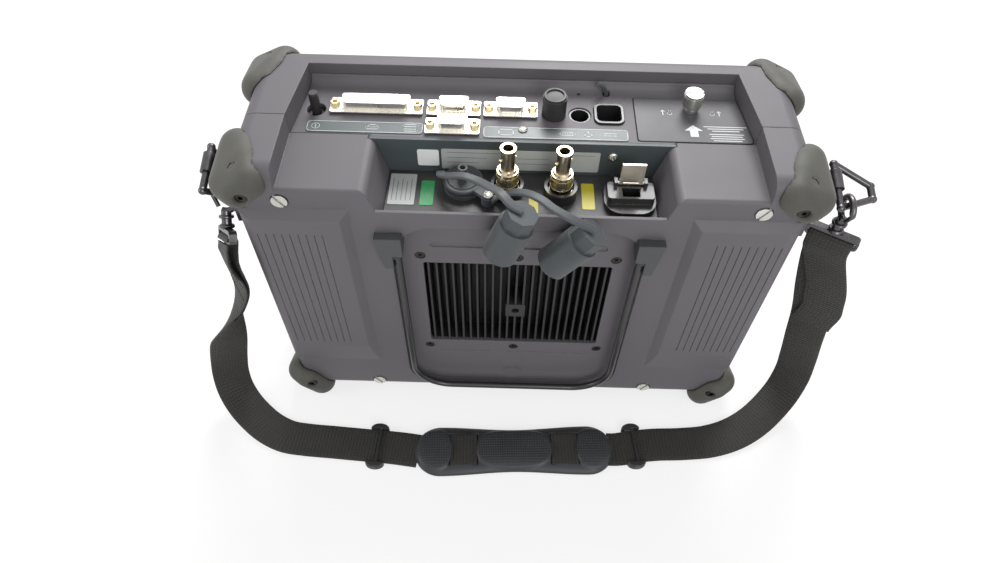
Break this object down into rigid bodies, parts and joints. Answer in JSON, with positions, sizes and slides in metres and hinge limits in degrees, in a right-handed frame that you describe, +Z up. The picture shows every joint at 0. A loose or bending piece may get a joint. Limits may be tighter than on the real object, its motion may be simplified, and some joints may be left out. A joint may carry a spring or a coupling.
{
  "type": "portable optical spectrum analyzer",
  "caption": "Rugged portable test instrument with rear heat sink, folding tilt bail, connector recess, rubber corner bumpers and a shoulder strap.",
  "frame": {"origin": "on the floor under the middle of the case, which stands on its lower bumpers", "axes": "+X along the width (right, seen from the rear), +Y from the rear face towards the display, +Z up"},
  "size_m": [0.4333, 0.1808, 0.2322],
  "materials": {
    "case_paint": "fine textured warm grey moulding",
    "seal_rubber": "matte",
    "bumper_rubber": "matte olive grey, scuffed",
    "screw_steel": "zinc plated",
    "dark_screw": "black oxide",
    "panel_teal": "satin teal grey",
    "panel_dark": "satin",
    "sink_black": "black anodised, worn tips",
    "bracket_grey": "matte",
    "bail_wire": "semi-gloss black",
    "door_paint": "satin dark grey",
    "pack_plastic": "matte",
    "button_black": "matte",
    "dsub_shell": "nickel plated",
    "jack_brass": "plated, slightly tarnished",
    "socket_black": "matte",
    "strip_teal": "printed film",
    "label_film": "blank label",
    "cap_rubber": "matte blue black",
    "adapter_metal": "knurled, nickel over brass",
    "shutter_metal": "satin nickel",
    "ring_black": "black, worn at the tips",
    "webbing": "woven nylon webbing",
    "slider_plastic": "moulded",
    "pad_rubber": "moulded, with raised dots",
    "display_glass": "anti-glare window",
    "display_grey": "panel behind the window",
    "key_grey": "matte keys",
    "knob_black": "ribbed",
    "board_green": "solder mask",
    "sheet_aluminium": "bare sheet"
  },
  "bodies": {
    "case": {"front_shell": "case_paint", "rear_shell": "case_paint", "shell_seal": "seal_rubber", "display_window": "display_glass", "display_module": "display_grey", "keypad_board": "board_green", "top_rear_bumpers": "bumper_rubber", "top_front_bumpers": "bumper_rubber", "bottom_rear_bumpers": "bumper_rubber", "bottom_front_bumpers": "bumper_rubber", "bumper_screws": "dark_screw", "case_screws": "screw_steel", "top_panel": "case_paint", "wall_panel": "panel_teal", "port_panel": "panel_dark", "panel_screws": "screw_steel", "heat_sink": "sink_black", "heat_sink_screws": "dark_screw", "bail_brackets": "bracket_grey", "parallel_port": "dsub_shell", "serial_ports": "dsub_shell", "jack_screws": "jack_brass", "round_ports": "socket_black", "power_inlet": "socket_black", "label_strips": "strip_teal", "blank_labels": "label_film", "spare_port": "cap_rubber", "adapter_cups": "socket_black", "shutter_port": "socket_black", "dust_caps": "cap_rubber", "cap_tethers": "cap_rubber", "ring_brackets": "ring_black", "strap_left": "webbing", "strap_right": "webbing", "strap_sliders": "slider_plastic", "shoulder_pad": "pad_rubber", "main_board": "board_green", "chassis_frame": "sheet_aluminium", "optical_module": "sheet_aluminium"},
    "bail": {"tilt_bail": "bail_wire"},
    "battery": {"battery_door": "door_paint", "battery_pack": "pack_plastic"},
    "battery_screw": {"battery_screw": "screw_steel"},
    "power_button": {"power_button": "button_black"},
    "keyboard_cap": {"keyboard_cap": "button_black"},
    "adapter_left": {"adapter_left": "adapter_metal"},
    "adapter_right": {"adapter_right": "adapter_metal"},
    "shutter": {"shutter": "shutter_metal"},
    "ring_left": {"strap_ring_left": "ring_black", "hook_left": "ring_black"},
    "ring_right": {"strap_ring_right": "ring_black", "hook_right": "ring_black"},
    "gate_left": {"gate_left": "ring_black"},
    "gate_right": {"gate_right": "ring_black"},
    "knob": {"knob": "knob_black"},
    "soft_key_1": {"soft_key_1": "key_grey"},
    "soft_key_2": {"soft_key_2": "key_grey"},
    "soft_key_3": {"soft_key_3": "key_grey"},
    "soft_key_4": {"soft_key_4": "key_grey"},
    "start_key": {"start_key": "key_grey"}
  },
  "joints": [
    {"name": "bail_fold", "type": "hinge", "parent": "case", "child": "bail", "pos_m": [0, -0.0544, 0.168], "axis": [-1, 0, 0], "range_deg": [0, 60]},
    {"name": "battery_pull", "type": "slide", "parent": "case", "child": "battery", "axis": [0, 0, 1], "range_m": [0, 0.155]},
    {"name": "battery_screw_turn", "type": "hinge", "parent": "battery", "child": "battery_screw", "pos_m": [0.0969, 0.0203, 0.2176], "axis": [0, 0, 1], "continuous": true},
    {"name": "power_press", "type": "slide", "parent": "case", "child": "power_button", "axis": [0, 0, -1], "range_m": [0, 0.0015], "stiffness_N_per_m": 400},
    {"name": "keyboard_cap_pull", "type": "slide", "parent": "case", "child": "keyboard_cap", "axis": [0, 0, 1], "range_m": [0, 0.02]},
    {"name": "adapter_left_turn", "type": "hinge", "parent": "case", "child": "adapter_left", "pos_m": [-0.0078, -0.0256, 0.2], "axis": [0, 0, 1], "continuous": true},
    {"name": "adapter_right_turn", "type": "hinge", "parent": "case", "child": "adapter_right", "pos_m": [0.0222, -0.0268, 0.2], "axis": [0, 0, 1], "continuous": true},
    {"name": "shutter_flip", "type": "hinge", "parent": "case", "child": "shutter", "pos_m": [0.0609, -0.0254, 0.2029], "axis": [1, 0, 0], "range_deg": [0, 90]},
    {"name": "ring_left_swing", "type": "hinge", "parent": "case", "child": "ring_left", "pos_m": [-0.1695, -0.034, 0.2135], "axis": [0, 0.9659, 0.2588], "range_deg": [-1, 30], "deforming": ["strap_left"]},
    {"name": "ring_right_swing", "type": "hinge", "parent": "case", "child": "ring_right", "pos_m": [0.1695, -0.034, 0.2135], "axis": [0, 0.9659, 0.2588], "range_deg": [-10, 10], "deforming": ["strap_right"]},
    {"name": "gate_left_open", "type": "hinge", "parent": "ring_left", "child": "gate_left", "pos_m": [-0.16977, -0.03766, 0.1858], "axis": [0, 0.766, -0.6428], "range_deg": [0, 20], "stiffness_Nm_per_rad": 0.02},
    {"name": "gate_right_open", "type": "hinge", "parent": "ring_right", "child": "gate_right", "pos_m": [0.17524, -0.04764, 0.1998], "axis": [-1, 0, 0], "range_deg": [0, 20], "stiffness_Nm_per_rad": 0.02},
    {"name": "knob_turn", "type": "hinge", "parent": "case", "child": "knob", "pos_m": [-0.114, 0.055, 0.162], "axis": [0, 1, 0], "continuous": true},
    {"name": "soft_key_1_press", "type": "slide", "parent": "case", "child": "soft_key_1", "axis": [0, -1, 0], "range_m": [0, 0.0015], "stiffness_N_per_m": 400},
    {"name": "soft_key_2_press", "type": "slide", "parent": "case", "child": "soft_key_2", "axis": [0, -1, 0], "range_m": [0, 0.0015], "stiffness_N_per_m": 400},
    {"name": "soft_key_3_press", "type": "slide", "parent": "case", "child": "soft_key_3", "axis": [0, -1, 0], "range_m": [0, 0.0015], "stiffness_N_per_m": 400},
    {"name": "soft_key_4_press", "type": "slide", "parent": "case", "child": "soft_key_4", "axis": [0, -1, 0], "range_m": [0, 0.0015], "stiffness_N_per_m": 400},
    {"name": "start_key_press", "type": "slide", "parent": "case", "child": "start_key", "axis": [0, -1, 0], "range_m": [0, 0.0015], "stiffness_N_per_m": 400}
  ]
}
